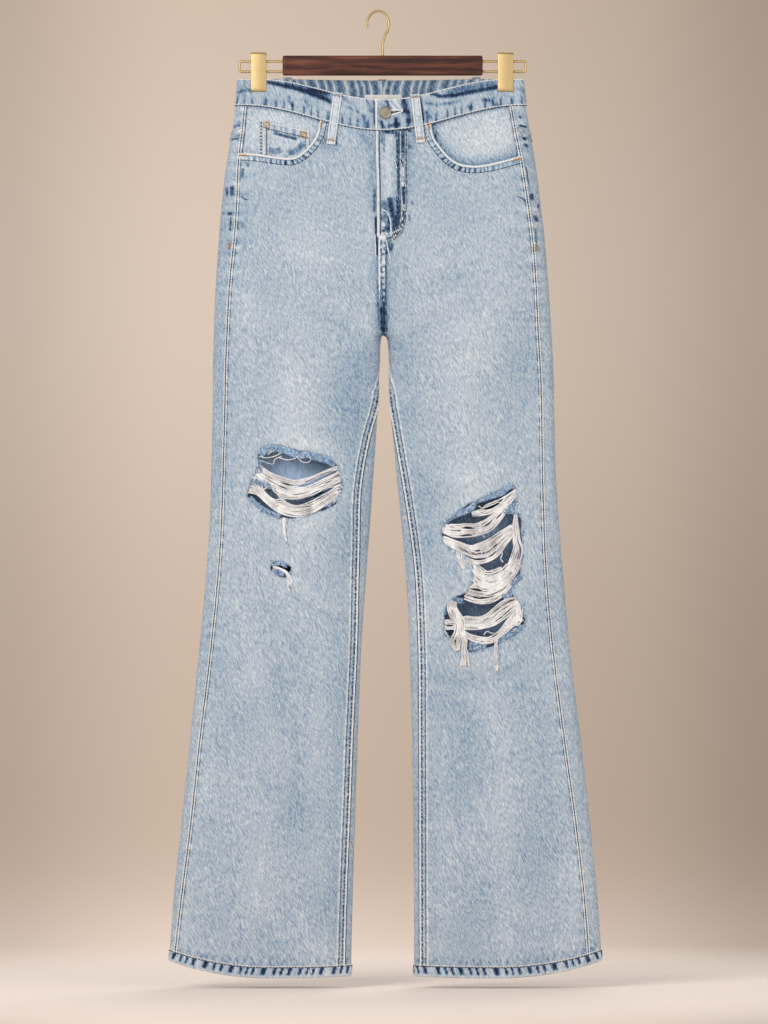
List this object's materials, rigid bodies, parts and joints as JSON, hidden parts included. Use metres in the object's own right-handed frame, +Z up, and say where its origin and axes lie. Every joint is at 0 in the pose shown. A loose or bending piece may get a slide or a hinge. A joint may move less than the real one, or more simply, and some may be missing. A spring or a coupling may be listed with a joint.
{
  "type": "ripped jeans on a clip hanger",
  "caption": "Straight bootcut denim jeans with torn knees, hanging from a wooden clip hanger with a wire hook.",
  "frame": {"origin": "inside of the hook's crown, where it hangs on a rail", "axes": "+Z up, +X to the right seen from the front, -Y out of the front of the jeans"},
  "size_m": [0.5094, 0.0585, 1.1418],
  "materials": {
    "denim": "light stone-washed denim with pale sewing thread",
    "walnut": "dark varnished",
    "brass": "satin",
    "button_metal": "matt taupe plating",
    "label_cloth": "plain woven tape"
  },
  "bodies": {
    "root": {"back_left": "denim", "back_pocket_left": "denim", "back_pocket_right": "denim", "back_right": "denim", "belt_loop_back_left": "denim", "belt_loop_back_middle": "denim", "belt_loop_back_right": "denim", "belt_loop_front_left": "denim", "belt_loop_front_right": "denim", "coin_pocket": "denim", "coin_rivet_1": "brass", "coin_rivet_2": "brass", "front_left": "denim", "front_right": "denim", "hanger_bar": "walnut", "hanger_clip_left": "brass", "hanger_clip_right": "brass", "hanger_hook": "brass", "hanger_wire_left": "brass", "hanger_wire_right": "brass", "pocket_facing_left": "denim", "pocket_facing_right": "denim", "waist_button": "button_metal", "waist_label": "label_cloth", "waistband_left": "denim", "waistband_right": "denim", "yoke_left": "denim", "yoke_right": "denim"}
  },
  "joints": []
}
